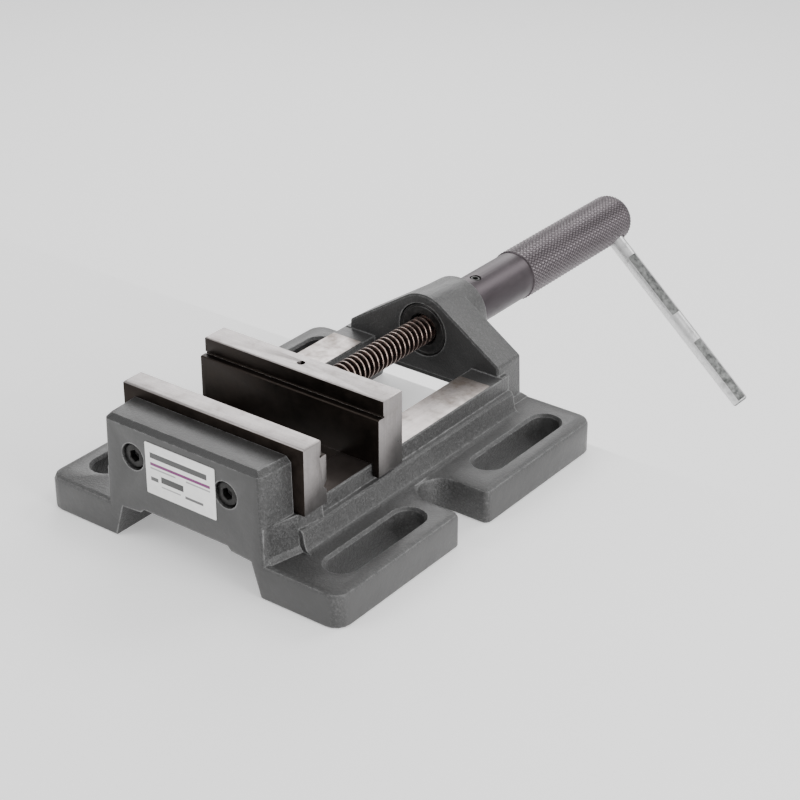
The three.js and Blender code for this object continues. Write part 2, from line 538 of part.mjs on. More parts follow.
// ---------------------------------------------------------------- handle
function spindleNut() {
  const f = FLANGE_Y, body = turned([[FLANGE_D / 2 - 0.8, f], [FLANGE_D / 2, f + 0.8],
    [FLANGE_D / 2, f + FLANGE_T], [JOURNAL_D / 2, f + FLANGE_T + 0.01],
    [JOURNAL_D / 2, SLEEVE_Y - GAP], [SHANK_D / 2, SLEEVE_Y - GAP + 0.01],
    [SHANK_D / 2, SHANK_END - 1], [SHANK_D / 2 - 1, SHANK_END]], ALONG_Y, 36, 0, SPINDLE_Z);
  const threadEnd = f + 2 * SPINDLE_D;
  const cut = thread(f - 1, threadEnd + 0.5, THREAD_CLEAR);
  const relief = cylY(SPINDLE_D + 1.2, threadEnd, SHANK_END + 1, 28);
  const mouth = turned([[SPINDLE_D / 2 + 1.4, f - 1], [SPINDLE_D / 2 + 1.4, f],
    [SPINDLE_D / 2 - 1, f + 2.4]], ALONG_Y, 28, 0, SPINDLE_Z);
  const dimple = setScrewAxis(turned([[2.3, SET_TIP - 0.4], [2.3, SET_TIP + 9]], ALONG_Z, 16));
  return body.subtract(wasm.Manifold.union([cut, relief, mouth, dimple]));
}

const thrustWasher = () => {
  const y = FLANGE_Y + FLANGE_T + GAP;
  return cylY(FLANGE_D, y, y + THRUST_T, 36).subtract(cylY(JOURNAL_D + 2 * GAP, y - 1, y + 9, 36));
};

// Place something drawn along +Z from the spindle axis at the set screw.
const setScrewAxis = (solid) => solid.rotate([0, SET_SCREW_ANGLE, 0])
  .translate([0, SLEEVE_Y + SET_SCREW_AT, SPINDLE_Z]);

const barAxis = (solid) => solid.rotate([0, 90 - BAR_ANGLE, 0]).translate([0, BAR_Y, SPINDLE_Z]);

function handleSleeve() {
  const r = HANDLE_D / 2, k = KNURL_D / 2, e = HANDLE_END;
  const dome = [0, 18, 36, 54, 72, 90].map((a) => {
    const t = (a * Math.PI) / 180;
    return [k - 8 + 8 * Math.cos(t), e - 8 + 8 * Math.sin(t)];
  });
  const body = turned([[r - 0.8, SLEEVE_Y], [r, SLEEVE_Y + 0.8], [r, KNURL_Y], [k, KNURL_Y + 0.6],
    ...dome], ALONG_Y, 40, 0, SPINDLE_Z);
  const bore = turned([[SHANK_D / 2 + GAP, SLEEVE_Y - 1], [SHANK_D / 2 + GAP, SHANK_END + 1],
    [HANDLE_BORE / 2, SHANK_END + 1.01], [HANDLE_BORE / 2, BAR_Y - 28],
    [1, BAR_Y - 23]], ALONG_Y, 32, 0, SPINDLE_Z);
  const cross = barAxis(turned([[BAR_D / 2 + GAP + 1, -k - 1], [BAR_D / 2 + GAP + 1, -k + 0.4],
    [BAR_D / 2 + GAP, -k + 1.4], [BAR_D / 2 + GAP, k - 1.4], [BAR_D / 2 + GAP + 1, k - 0.4],
    [BAR_D / 2 + GAP + 1, k + 1]], ALONG_Z, 28));
  const tap = setScrewAxis(turned([[SET_SCREW_D / 2 + GAP, SET_TIP - 4],
    [SET_SCREW_D / 2 + GAP, KNURL_D / 2 + 2]], ALONG_Z, 16));
  return body.subtract(wasm.Manifold.union([bore, cross, tap]));
}

function setScrew() {
  const top = HANDLE_D / 2 - 0.4, tip = SET_TIP, r = SET_SCREW_D / 2;
  const body = turned([[r - 1.6, tip], [r - 1.1, tip + 0.4], [r - 1.1, SHANK_D / 2 + 0.2],
    [r, SHANK_D / 2 + 1], [r, top - 0.4], [r - 0.4, top]], ALONG_Z, 16);
  const hex = turned([[r / Math.sqrt(3), top - 2.6], [r / Math.sqrt(3), top + 1]], ALONG_Z, 6);
  return setScrewAxis(body.subtract(hex));
}

function tommyBar() {
  const r = BAR_D / 2, back = -KNURL_D / 2 + 0.2, out = BAR_OUT, f = r - BAR_FLAT;
  const bar = turned([[r - 0.9, back], [r, back + 0.9], [r, out - 0.9], [r - 0.9, out]], ALONG_Z, 24);
  const flats = [];
  for (const [a, b] of BAR_FLATS) {
    for (const s of [-1, 1]) {
      flats.push(loft([[rect(-9, Math.min(s * r, s * 9), 9, Math.max(s * r, s * 9)), a - 1.5],
        [rect(-9, Math.min(s * f, s * 9), 9, Math.max(s * f, s * 9)), a + 1],
        [rect(-9, Math.min(s * f, s * 9), 9, Math.max(s * f, s * 9)), b - 1],
        [rect(-9, Math.min(s * r, s * 9), 9, Math.max(s * r, s * 9)), b + 1.5]], ALONG_Z));
    }
  }
  return barAxis(bar.subtract(wasm.Manifold.union(flats).rotate([0, 0, -65])));
}

// ---------------------------------------------------------------- assembly
const FINISH = {
  paint: [0x45484a, 0.55, 0.35], ground: [0xb8b1ae, 0.32, 0.95], jaw: [0x8f8a88, 0.4, 0.9],
  oxide: [0x1f1e20, 0.45, 0.7], thread: [0x4a4442, 0.35, 0.9], zinc: [0xb4b6b5, 0.3, 0.95],
  handle: [0x7a7377, 0.42, 0.85], label: [0xeeeeec, 0.6, 0.0], bronze: [0x8c7450, 0.4, 0.9],
};
const group = new THREE.Group();
group.name = 'drill_press_vise';

function place(name, solid, finish) {
  const mesh = solid.translate([0, -BASE_LENGTH / 2, 0]).getMesh();
  const g = new THREE.BufferGeometry();
  const np = mesh.numProp, v = mesh.vertProperties, pos = new Float32Array((v.length / np) * 3);
  for (let i = 0; i < v.length / np; i++) for (let k = 0; k < 3; k++) pos[3 * i + k] = v[np * i + k];
  g.setAttribute('position', new THREE.BufferAttribute(pos, 3));
  g.setIndex(new THREE.BufferAttribute(new Uint32Array(mesh.triVerts), 1));
  g.computeVertexNormals();
  const [color, roughness, metalness] = FINISH[finish];
  const node = new THREE.Mesh(g, new THREE.MeshStandardMaterial({ color, roughness, metalness }));
  node.name = name;
  group.add(node);
}

place('vise_body', viseBody(), 'paint');
place('fixed_jaw_plate', fixedJawPlate(), 'jaw');
place('fixed_jaw_screw_left', fixedJawScrew(-1), 'oxide');
place('fixed_jaw_screw_right', fixedJawScrew(1), 'oxide');
place('fixed_jaw_washer_left', lockWasher(-1), 'zinc');
place('fixed_jaw_washer_right', lockWasher(1), 'zinc');
place('name_label', nameLabel(), 'label');
place('moving_jaw', movingJaw(), 'jaw');
place('keeper_plate', keeperPlate(), 'ground');
place('keeper_washer_left', keeperWasher(-1), 'zinc');
place('keeper_washer_right', keeperWasher(1), 'zinc');
place('keeper_screw_left', keeperScrew(-1), 'oxide');
place('keeper_screw_right', keeperScrew(1), 'oxide');
place('spindle', spindle(), 'thread');
place('spindle_lock_pin', lockPin(), 'oxide');
place('spindle_nut', spindleNut(), 'oxide');
place('thrust_washer', thrustWasher(), 'bronze');
place('handle_sleeve', handleSleeve(), 'handle');
place('handle_set_screw', setScrew(), 'oxide');
place('tommy_bar', tommyBar(), 'zinc');

export default group;
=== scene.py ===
# %% [markdown]
# # A drill press vise, finished in Blender
# The frame of the vise is already made: every solid sits in its true place, in metres. This lesson
# gives it what a workshop object has: rounded casting edges, a real thread, a diamond knurl, ground
# and blackened steel. Each step says what the piece is, how it could be made and why this way.
# %% Load the frame
import math
import bpy
from mathutils import Matrix, Vector


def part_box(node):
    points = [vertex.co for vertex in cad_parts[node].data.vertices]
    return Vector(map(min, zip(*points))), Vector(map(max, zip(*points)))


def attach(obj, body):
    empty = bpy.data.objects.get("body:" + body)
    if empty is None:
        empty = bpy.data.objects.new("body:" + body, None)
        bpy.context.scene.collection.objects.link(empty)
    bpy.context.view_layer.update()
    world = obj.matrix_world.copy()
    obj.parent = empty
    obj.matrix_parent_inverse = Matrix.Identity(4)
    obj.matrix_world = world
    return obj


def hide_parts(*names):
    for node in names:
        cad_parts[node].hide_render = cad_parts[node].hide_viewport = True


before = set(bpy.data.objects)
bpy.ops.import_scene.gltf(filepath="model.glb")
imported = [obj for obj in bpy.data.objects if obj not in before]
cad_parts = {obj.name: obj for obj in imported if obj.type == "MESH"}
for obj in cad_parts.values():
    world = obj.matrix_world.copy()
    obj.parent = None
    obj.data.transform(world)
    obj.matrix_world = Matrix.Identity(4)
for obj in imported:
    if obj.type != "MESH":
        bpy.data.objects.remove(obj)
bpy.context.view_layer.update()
MM = 0.001
STEP = 0.01 * MM
Y_AXIS, Z_AXIS = 1, 2

# %% [markdown]
# ## Places that everything else is measured from
# The spindle's axis and the faces of the casting come from the solids themselves, so that a piece
# that is made here lands where the frame has it. A table of numbers would do as well, but it would
# go wrong without a sound when the frame changes.
# %% Read the places
CAST_LOW, CAST_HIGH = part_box("vise_body")
SLEEVE_LOW, SLEEVE_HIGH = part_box("handle_sleeve")
AXIS_Z = (SLEEVE_LOW.z + SLEEVE_HIGH.z) / 2
FRONT_Y = CAST_LOW.y
BRACKET_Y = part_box("spindle_nut")[0].y - 0.3 * MM
RAIL_Z = 41.6 * MM
print("axis height", round(AXIS_Z, 5), "bracket face", round(BRACKET_Y, 5))


# %% [markdown]
# ## Edit mode by hand, in code
# Every tool works on what is selected, so the first habit is to deselect everything. These small
# helpers open a piece for editing and pick its faces by place and normal, as one would by clicking.
# %% Helpers for selecting
def only(piece):
    """Make one piece the only selected and active object."""
    if bpy.context.object and bpy.context.object.mode != "OBJECT":
        bpy.ops.object.mode_set(mode="OBJECT")
    bpy.ops.object.select_all(action="DESELECT")
    piece.select_set(True)
    bpy.context.view_layer.objects.active = piece
    return piece


def pick(piece, wanted, kind="polygons"):
    """Select the faces, edges or vertices for which wanted(item) is true, and stay in edit mode."""
    only(piece)
    bpy.ops.object.mode_set(mode="EDIT")
    bpy.ops.mesh.select_mode(type={"polygons": "FACE", "edges": "EDGE", "vertices": "VERT"}[kind])
    bpy.ops.mesh.select_all(action="DESELECT")
    bpy.ops.object.mode_set(mode="OBJECT")
    chosen = [item for item in getattr(piece.data, kind) if wanted(item)]
    for item in chosen:
        item.select = True
    bpy.ops.object.mode_set(mode="EDIT")
    return len(chosen)


def close_up(piece, smooth=30):
    """Merge doubles, turn every face outwards and shade all but the sharp edges smooth."""
    only(piece)
    bpy.ops.object.mode_set(mode="EDIT")
    bpy.ops.mesh.select_all(action="SELECT")
    bpy.ops.mesh.remove_doubles(threshold=1e-6)
    bpy.ops.mesh.normals_make_consistent(inside=False)
    bpy.ops.object.mode_set(mode="OBJECT")
    bpy.ops.object.transform_apply(location=True, rotation=True, scale=True)
    bpy.ops.object.shade_smooth_by_angle(angle=math.radians(smooth))
    return piece


def finish_piece(piece, body, slot, *nodes):
    """Let a finished piece ride on its body and stand for its solids."""
    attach(piece, body)
    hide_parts(*nodes)
    print(piece.name, "rides on", body, "with", len(piece.data.polygons), "faces")
    return piece


# %% [markdown]
# ## Rounding the edges of a solid
# A casting has no sharp edge, and even a ground jaw has its burr broken. The quickest true way is to
# take a copy of the solid, join its loose triangles into flat faces again, and run a bevel round all
# edges that are sharper than a given angle. Remeshing would soften the flats too, so it isn't used.
# %% A bevelled copy of a solid
def rounded_copy(node, name, width, angle=28, segments=3):
    piece = bpy.data.objects.new(name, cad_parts[node].data.copy())
    bpy.context.scene.collection.objects.link(piece)
    only(piece)
    bpy.ops.object.mode_set(mode="EDIT")
    bpy.ops.mesh.select_all(action="SELECT")
    bpy.ops.mesh.remove_doubles(threshold=2e-6)
    bpy.ops.mesh.customdata_custom_splitnormals_clear()
    bpy.ops.mesh.dissolve_limited(angle_limit=math.radians(0.6))
    bpy.ops.object.mode_set(mode="OBJECT")
    bevel = piece.modifiers.new("edges", "BEVEL")
    bevel.width = width
    bevel.segments = segments
    bevel.limit_method = "ANGLE"
    bevel.angle_limit = math.radians(angle)
    bevel.use_clamp_overlap = True
    bpy.ops.object.modifier_apply(modifier="edges")
    bpy.ops.object.shade_smooth_by_angle(angle=math.radians(32))
    piece.data.materials.clear()
    return piece


# %% [markdown]
# ## Turned pieces
# A screw head, a nut or a sleeve comes from a lathe. By hand it is a circle that is extruded along
# the spindle and scaled at every step of its profile. A spin of a drawn profile gives the same
# shape, but the circle keeps every ring apart, so that single rings can be picked later.
# %% A lathe made of extrudes
def draw_out(steps, radius, along, centre, axis):
    """Extrude the selected ring along an axis to each [radius, distance], and scale it there."""
    for new_radius, new_along in steps:
        move, scale, pivot = [0, 0, 0], [new_radius / radius] * 3, list(centre)
        move[axis], scale[axis], pivot[axis] = new_along - along, 1, new_along
        bpy.ops.mesh.extrude_region_move(TRANSFORM_OT_translate={"value": move})
        bpy.ops.transform.resize(value=scale, center_override=pivot)
        radius, along = new_radius, new_along


def turned(name, steps, sides=64, x=0.0, z=None, hollow=False):
    """Rings of [radius, y] round an axis along Y; a hollow one ends on the ring it began with."""
    z = AXIS_Z if z is None else z
    radius, y = steps[0]
    if bpy.context.object and bpy.context.object.mode != "OBJECT":
        bpy.ops.object.mode_set(mode="OBJECT")
    bpy.ops.object.select_all(action="DESELECT")
    bpy.ops.mesh.primitive_circle_add(vertices=sides, radius=radius, location=(x, y, z),
        fill_type="NOTHING" if hollow else "NGON", rotation=(math.pi / 2, 0, 0))
    piece = bpy.context.object
    piece.name = piece.data.name = name
    bpy.ops.object.transform_apply(location=True, rotation=True, scale=True)
    bpy.ops.object.mode_set(mode="EDIT")
    bpy.ops.mesh.select_all(action="SELECT")
    draw_out(steps[1:], radius, y, (x, y, z), Y_AXIS)
    bpy.ops.object.mode_set(mode="OBJECT")
    return close_up(piece)


def cut(piece, cutter):
    """Cut one solid out of another and throw the cutter away."""
    only(piece)
    boolean = piece.modifiers.new("cut", "BOOLEAN")
    boolean.operation = "DIFFERENCE"
    boolean.solver = "EXACT"
    boolean.object = cutter
    bpy.ops.object.modifier_apply(modifier="cut")
    bpy.data.objects.remove(cutter)
    bpy.ops.object.shade_smooth_by_angle(angle=math.radians(30))
    return piece


# %% [markdown]
# ## The casting
# One piece of grey iron: two feet with two slots each, two rails, the jaw block and the bracket.
# The mould leaves every edge round, about half a millimetre, besides the chamfers that the solid
# already has. The tops of the rails are ground afterwards, so those faces get a material slot of
# their own.
# %% Round the casting and find its ground faces
casting = rounded_copy("vise_body", "casting", 0.55 * MM, angle=26, segments=3)
GROUND_START, GROUND_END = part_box("fixed_jaw_plate")[1].y, BRACKET_Y - 11.8 * MM
RAIL_INSIDE, RAIL_OUTSIDE = 33 * MM, 56 * MM


def is_ground(face):
    c = face.center
    level = abs(c.z - RAIL_Z) < 0.2 * MM and face.normal.z > 0.9
    return level and GROUND_START < c.y < GROUND_END and RAIL_INSIDE < abs(c.x) < RAIL_OUTSIDE


ground_count = pick(casting, is_ground)
bpy.ops.object.mode_set(mode="OBJECT")
ground_faces = [f.index for f in casting.data.polygons if is_ground(f)]
finish_piece(casting, "base", "cast_paint", "vise_body")
print("ground faces on the rails", ground_count)

# %% [markdown]
# ## The jaws
# Both jaws are ground steel with a set-back strip along the top for thin work, and the fixed one has
# a groove for round work. Their edges are only broken, so three tenths of a millimetre are enough: a
# wider bevel would make them look cast.
# %% Break the edges of the jaws
fixed_jaw = rounded_copy("fixed_jaw_plate", "fixed_jaw", 0.3 * MM, segments=2)
finish_piece(fixed_jaw, "base", "jaw_steel", "fixed_jaw_plate")
sliding_jaw = rounded_copy("moving_jaw", "sliding_jaw", 0.3 * MM, segments=2)
finish_piece(sliding_jaw, "moving_jaw", "jaw_steel", "moving_jaw")

# %% [markdown]
# ## The spindle
# A left-hand trapezoidal thread of 16 mm with a pitch of 4 mm. A stack of rings would not be a thread,
# so one tooth is drawn as a strip of five edges and the Screw modifier carries it round the axis,
# one pitch forward for each turn. Two cuts of the bisect tool make its ends flat.
# %% Cut the thread
SPINDLE_R, PITCH = 8 * MM, 4 * MM
ROOT_R = SPINDLE_R - PITCH / 2 - 0.25 * MM
JAW_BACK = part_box("moving_jaw")[1].y
SPINDLE_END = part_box("spindle")[1].y
tooth = [(ROOT_R, 0.0), (ROOT_R, 0.40), (SPINDLE_R - 0.3 * MM, 0.53), (SPINDLE_R, 0.60),
         (SPINDLE_R, 0.80), (SPINDLE_R - 0.3 * MM, 0.87), (ROOT_R, 1.0)]
rear = BRACKET_Y + PITCH * math.ceil((SPINDLE_END - BRACKET_Y) / PITCH)
turns = math.ceil((rear - JAW_BACK) / PITCH) + 1
bpy.ops.object.select_all(action="DESELECT")
bpy.ops.mesh.primitive_circle_add(vertices=len(tooth) + 1, radius=SPINDLE_R)
spindle = bpy.context.object
spindle.name = spindle.data.name = "spindle_thread"
pick(spindle, lambda edge: set(edge.vertices) == {0, len(tooth)}, "edges")
bpy.ops.mesh.delete(type="EDGE")
pick(spindle, lambda vertex: vertex.index == len(tooth), "vertices")
bpy.ops.mesh.delete(type="VERT")
bpy.ops.object.mode_set(mode="OBJECT")
for vertex, (radius, share) in zip(spindle.data.vertices, tooth):
    vertex.co = (0, rear + share * PITCH, radius)
screw = spindle.modifiers.new("thread", "SCREW")
screw.axis = "Y"
screw.steps = screw.render_steps = 32
screw.iterations = turns
screw.screw_offset = -PITCH
screw.use_merge_vertices = True
screw.merge_threshold = 1e-6
only(spindle)
bpy.ops.object.modifier_apply(modifier="thread")
bpy.ops.object.mode_set(mode="EDIT")
bpy.ops.mesh.select_all(action="SELECT")
bpy.ops.transform.translate(value=(0, 0, AXIS_Z))
for y, side in ((SPINDLE_END - 5 * MM, 1), (JAW_BACK + 1.2 * MM, -1)):
    bpy.ops.mesh.select_all(action="SELECT")
    bpy.ops.mesh.bisect(plane_co=(0, y, AXIS_Z), plane_no=(0, side, 0), clear_outer=True, use_fill=True)
bpy.ops.object.mode_set(mode="OBJECT")
close_up(spindle, 50)
journal = turned("spindle_journal", [(3.5 * MM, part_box("spindle")[0].y),
    (6 * MM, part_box("spindle")[0].y + 0.8 * MM), (6 * MM, JAW_BACK + 1.19 * MM)], 40)
tail = turned("spindle_tail", [(5.6 * MM, SPINDLE_END - 4.99 * MM), (5.6 * MM, SPINDLE_END - 0.8 * MM),
    (4.8 * MM, SPINDLE_END)], 40)
for part in (journal, tail, spindle):
    part.select_set(True)
bpy.context.view_layer.objects.active = spindle
bpy.ops.object.join()
finish_piece(spindle, "moving_jaw", "spindle_steel", "spindle")
print("turns of thread", turns, "tooth depth in mm", round((SPINDLE_R - ROOT_R) / MM, 2))

# %% [markdown]
# ## The spindle nut
# A blackened sleeve with a flange turns in the bracket. Only its face shows, with a rim and a mouth
# that leads the thread in, so those two rings are modelled and the rest is a plain bore.
# %% Turn the nut
NUT_LOW, NUT_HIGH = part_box("spindle_nut")
flange_r = (NUT_HIGH.x - NUT_LOW.x) / 2
MOUTH_R, JOURNAL_R, NUT_SHANK_R, NUT_BORE_R = 9.7 * MM, 12.7 * MM, 11 * MM, 8.45 * MM
y0 = NUT_LOW.y
flange_back, journal_back = y0 + 3.4 * MM, y0 + 35.5 * MM
nut_profile = [(MOUTH_R, y0), (13.6 * MM, y0), (13.9 * MM, y0 + 0.25 * MM), (14.2 * MM, y0),
    (flange_r - 0.7 * MM, y0), (flange_r, y0 + 0.7 * MM), (flange_r, flange_back),
    (JOURNAL_R, flange_back + STEP), (JOURNAL_R, journal_back), (NUT_SHANK_R, journal_back + 0.1 * MM),
    (NUT_SHANK_R, NUT_HIGH.y - 1 * MM), (10 * MM, NUT_HIGH.y), (NUT_BORE_R, NUT_HIGH.y - STEP),
    (NUT_BORE_R, y0 + 1.6 * MM), (MOUTH_R, y0)]
nut = turned("nut", nut_profile, 72, hollow=True)
finish_piece(nut, "handle", "black_oxide", "spindle_nut")

# %% [markdown]
# ## The knurled sleeve
# A knurl is two families of grooves that cross and leave rows of little pyramids. Drawing them as a
# bump alone leaves a smooth outline, so they are cut for real. A tube is divided into a grid, every
# face is poked to get its diagonals, the straight lines of the grid are dissolved, and what is left
# is a net of diamonds. Poked again with an offset, each diamond rises to a point.
# %% Raise the diamonds
AROUND, LONG = 42, 3.4 * MM
KNURL_Y, DOME_Y = SLEEVE_LOW.y + 54.8 * MM, SLEEVE_HIGH.y - 8 * MM
GRIP_R, DOME_R = 15.0 * MM, 8 * MM
arc = DOME_R * math.pi / 2
rows = round((DOME_Y - KNURL_Y + arc) / LONG)
grip_length = DOME_Y - KNURL_Y + arc
bpy.ops.object.select_all(action="DESELECT")
bpy.ops.mesh.primitive_cylinder_add(vertices=AROUND, radius=GRIP_R, depth=grip_length,
    end_fill_type="NOTHING", location=(0, KNURL_Y + grip_length / 2, AXIS_Z),
    rotation=(math.pi / 2, 0, 0))
sleeve = bpy.context.object
sleeve.name = sleeve.data.name = "handle_grip"
bpy.ops.object.transform_apply(location=True, rotation=True, scale=True)


def runs_along(edge):
    a, b = (sleeve.data.vertices[v].co for v in edge.vertices)
    return abs(a.y - b.y) > 0.9 * (a - b).length


pick(sleeve, runs_along, "edges")
bpy.ops.mesh.subdivide(number_cuts=rows - 1)
bpy.ops.mesh.select_all(action="SELECT")
bpy.ops.mesh.poke()
bpy.ops.object.mode_set(mode="OBJECT")


def is_grid_line(edge):
    a, b = (sleeve.data.vertices[v].co for v in edge.vertices)
    level = abs(a.y - b.y) < 0.01 * MM
    inside = KNURL_Y + MM < a.y < KNURL_Y + grip_length - MM
    along = abs(a.y - b.y) > 0.95 * (a - b).length and (a - b).length > 0.9 * LONG
    return (level and inside) or along


pick(sleeve, is_grid_line, "edges")
bpy.ops.mesh.dissolve_edges(use_verts=False)
bpy.ops.mesh.select_all(action="SELECT")
bpy.ops.mesh.poke(offset=0.45 * MM)
bpy.ops.object.mode_set(mode="OBJECT")
print("knurl faces", len(sleeve.data.polygons))

# %% [markdown]
# The grip ends in a dome. The knurled tube was made longer by the length of the dome's arc, and its
# last rows are now wrapped round that arc, so the diamonds shrink towards the end as on a real knurl.
# %% Wrap the end round its dome
for vertex in sleeve.data.vertices:
    past = vertex.co.y - DOME_Y
    if past <= 0:
        continue
    turn = past / DOME_R
    rise = math.hypot(vertex.co.x, vertex.co.z - AXIS_Z) - GRIP_R
    radius = GRIP_R - DOME_R + (DOME_R + rise) * math.cos(turn)
    k = radius / (GRIP_R + rise)
    vertex.co = (vertex.co.x * k, DOME_Y + (DOME_R + rise) * math.sin(turn),
        AXIS_Z + (vertex.co.z - AXIS_Z) * k)


def at_end(edge, y):
    a, b = (sleeve.data.vertices[v].co for v in edge.vertices)
    return abs(a.y - y) < 0.05 * MM and abs(b.y - y) < 0.05 * MM


print("edges round the end", pick(sleeve, lambda e: at_end(e, SLEEVE_HIGH.y), "edges"))
bpy.ops.mesh.edge_face_add()
bpy.ops.mesh.inset(thickness=1.5 * MM)

# %% [markdown]
# The front of the tube goes on as the smooth neck, turns into the bore and stops behind the spindle's
# longest reach: the same extrude and scale as on the lathe, started from the tube's open end.
# %% Add the smooth neck and the bore
print("edges round the front", pick(sleeve, lambda e: at_end(e, KNURL_Y), "edges"))
NECK_R, SHANK_BORE_R, SPINDLE_BORE_R = 14.5 * MM, 11.3 * MM, 9.2 * MM
SHANK_DEPTH, BORE_END = 25 * MM, SLEEVE_HIGH.y - 43 * MM
neck = [(NECK_R, KNURL_Y - 0.3 * MM), (NECK_R, SLEEVE_LOW.y + 0.8 * MM), (13.7 * MM, SLEEVE_LOW.y),
    (SHANK_BORE_R, SLEEVE_LOW.y + STEP), (SHANK_BORE_R, SLEEVE_LOW.y + SHANK_DEPTH),
    (SPINDLE_BORE_R, SLEEVE_LOW.y + SHANK_DEPTH + STEP), (SPINDLE_BORE_R, BORE_END),
    (1.0 * MM, BORE_END + 5 * MM)]
draw_out(neck, GRIP_R, KNURL_Y, (0, KNURL_Y, AXIS_Z), Y_AXIS)
bpy.ops.mesh.edge_face_add()
bpy.ops.object.mode_set(mode="OBJECT")
close_up(sleeve, 25)

# %% [markdown]
# ## Holes in the sleeve
# The tommy bar's hole crosses the grip just in front of the dome, and the set screw's hole is near
# the bracket. Both are cut with turned cutters that are laid along the same axes as the solids.
# %% Cut the bar's hole and the set screw's hole
BAR_ANGLE = math.radians(-41.2)
BAR_DIRECTION = Vector((math.cos(BAR_ANGLE), 0, math.sin(BAR_ANGLE)))
BAR_Y = SLEEVE_HIGH.y - 15 * MM
SCREW_Y, SCREW_LEAN = SLEEVE_LOW.y + 13.2 * MM, math.radians(5.5)
SCREW_DIRECTION = Vector((math.sin(SCREW_LEAN), 0, math.cos(SCREW_LEAN)))


def rod(name, radii, direction, y, sides=40):
    """A turned solid along a direction across the spindle; radii lists [radius, distance]."""
    radius, along = radii[0]
    bpy.ops.object.select_all(action="DESELECT")
    bpy.ops.mesh.primitive_circle_add(vertices=sides, radius=radius, location=(0, 0, along),
        fill_type="NGON")
    piece = bpy.context.object
    piece.name = piece.data.name = name
    bpy.ops.object.transform_apply(location=True, rotation=True, scale=True)
    bpy.ops.object.mode_set(mode="EDIT")
    bpy.ops.mesh.select_all(action="SELECT")
    draw_out(radii[1:], radius, along, (0, 0, along), Z_AXIS)
    bpy.ops.object.mode_set(mode="OBJECT")
    piece.rotation_euler = Vector((0, 0, 1)).rotation_difference(direction).to_euler()
    piece.location = (0, y, AXIS_Z)
    return close_up(piece)


HOLE_R, HOLE_MOUTH_R, TAP_R = 5.3 * MM, 6.3 * MM, 3.3 * MM
bar_cutter = rod("bar_cutter", [(HOLE_MOUTH_R, -17 * MM), (HOLE_MOUTH_R, -14.6 * MM),
    (HOLE_R, -13.4 * MM), (HOLE_R, 13.4 * MM), (HOLE_MOUTH_R, 14.6 * MM), (HOLE_MOUTH_R, 17 * MM)],
    BAR_DIRECTION, BAR_Y)
cut(sleeve, bar_cutter)
cut(sleeve, rod("tap_cutter", [(TAP_R, 5 * MM), (TAP_R, 17 * MM)], SCREW_DIRECTION, SCREW_Y, 32))
finish_piece(sleeve, "handle", "handle_steel", "handle_sleeve")

# %% [markdown]
# ## The tommy bar
# A round bar of 10 mm that was pressed flat in two places, so that it can't fall out of its hole. It
# is turned as a rod with broken ends, and each flat is cut by a block with slanted ends.
# %% Make the bar and its flats
BAR_OUT, BAR_BACK, BAR_R, BROKEN = 141.9 * MM, -14.8 * MM, 5 * MM, 0.9 * MM
bar = rod("bar", [(BAR_R - BROKEN, BAR_BACK), (BAR_R, BAR_BACK + BROKEN), (BAR_R, BAR_OUT - BROKEN),
    (BAR_R - BROKEN, BAR_OUT)], BAR_DIRECTION, BAR_Y, 48)
ALONG_BAR = Vector((0, 0, 1)).rotation_difference(BAR_DIRECTION)
FLAT_TURN = math.radians(-65)
BAR_FLATS = ((26.5 * MM, 74.5 * MM), (93.5 * MM, 141.5 * MM))
FLAT_OUT, RUN_OUT, BLOCK_WIDE, BLOCK_THICK = 4 * MM, 2.6 * MM, 18 * MM, 8 * MM


def flat_cutter(begin, end, side):
    """A block whose inner face lies on a flat and whose ends slant out of the bar."""
    bpy.ops.object.select_all(action="DESELECT")
    bpy.ops.mesh.primitive_cube_add(size=1)
    block = bpy.context.object
    bpy.ops.object.mode_set(mode="EDIT")
    bpy.ops.transform.resize(value=(BLOCK_WIDE, BLOCK_THICK, end - begin))
    bpy.ops.transform.translate(value=(0, side * (FLAT_OUT + BLOCK_THICK / 2), (begin + end) / 2))
    bpy.ops.object.mode_set(mode="OBJECT")
    pick(block, lambda face: face.normal.y * side < -0.9)
    bpy.ops.transform.resize(value=(1, 1, (end - begin - RUN_OUT) / (end - begin)),
        center_override=(0, side * FLAT_OUT, (begin + end) / 2))
    bpy.ops.object.mode_set(mode="OBJECT")
    block.rotation_euler = (ALONG_BAR.to_matrix() @ Matrix.Rotation(FLAT_TURN, 3, "Z")).to_euler()
    block.location = (0, BAR_Y, AXIS_Z)
    return close_up(block)


for begin, end in BAR_FLATS:
    for side in (1, -1):
        cut(bar, flat_cutter(begin, end, side))
finish_piece(bar, "tommy_bar", "zinc_steel", "tommy_bar")

# %% [markdown]
# ## Socket head screws
# Two M8 screws hold the fixed jaw from the front. A head is turned with a broken rim and a small
# countersink, and the six-sided socket is cut into it. The first screw is modelled, and the second
# is a copy with a mesh of its own, moved to the other hole.
# %% Model one screw and copy it
def centre_x(node):
    low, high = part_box(node)
    return (low.x + high.x) / 2


def centre_z(node):
    low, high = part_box(node)
    return (low.z + high.z) / 2


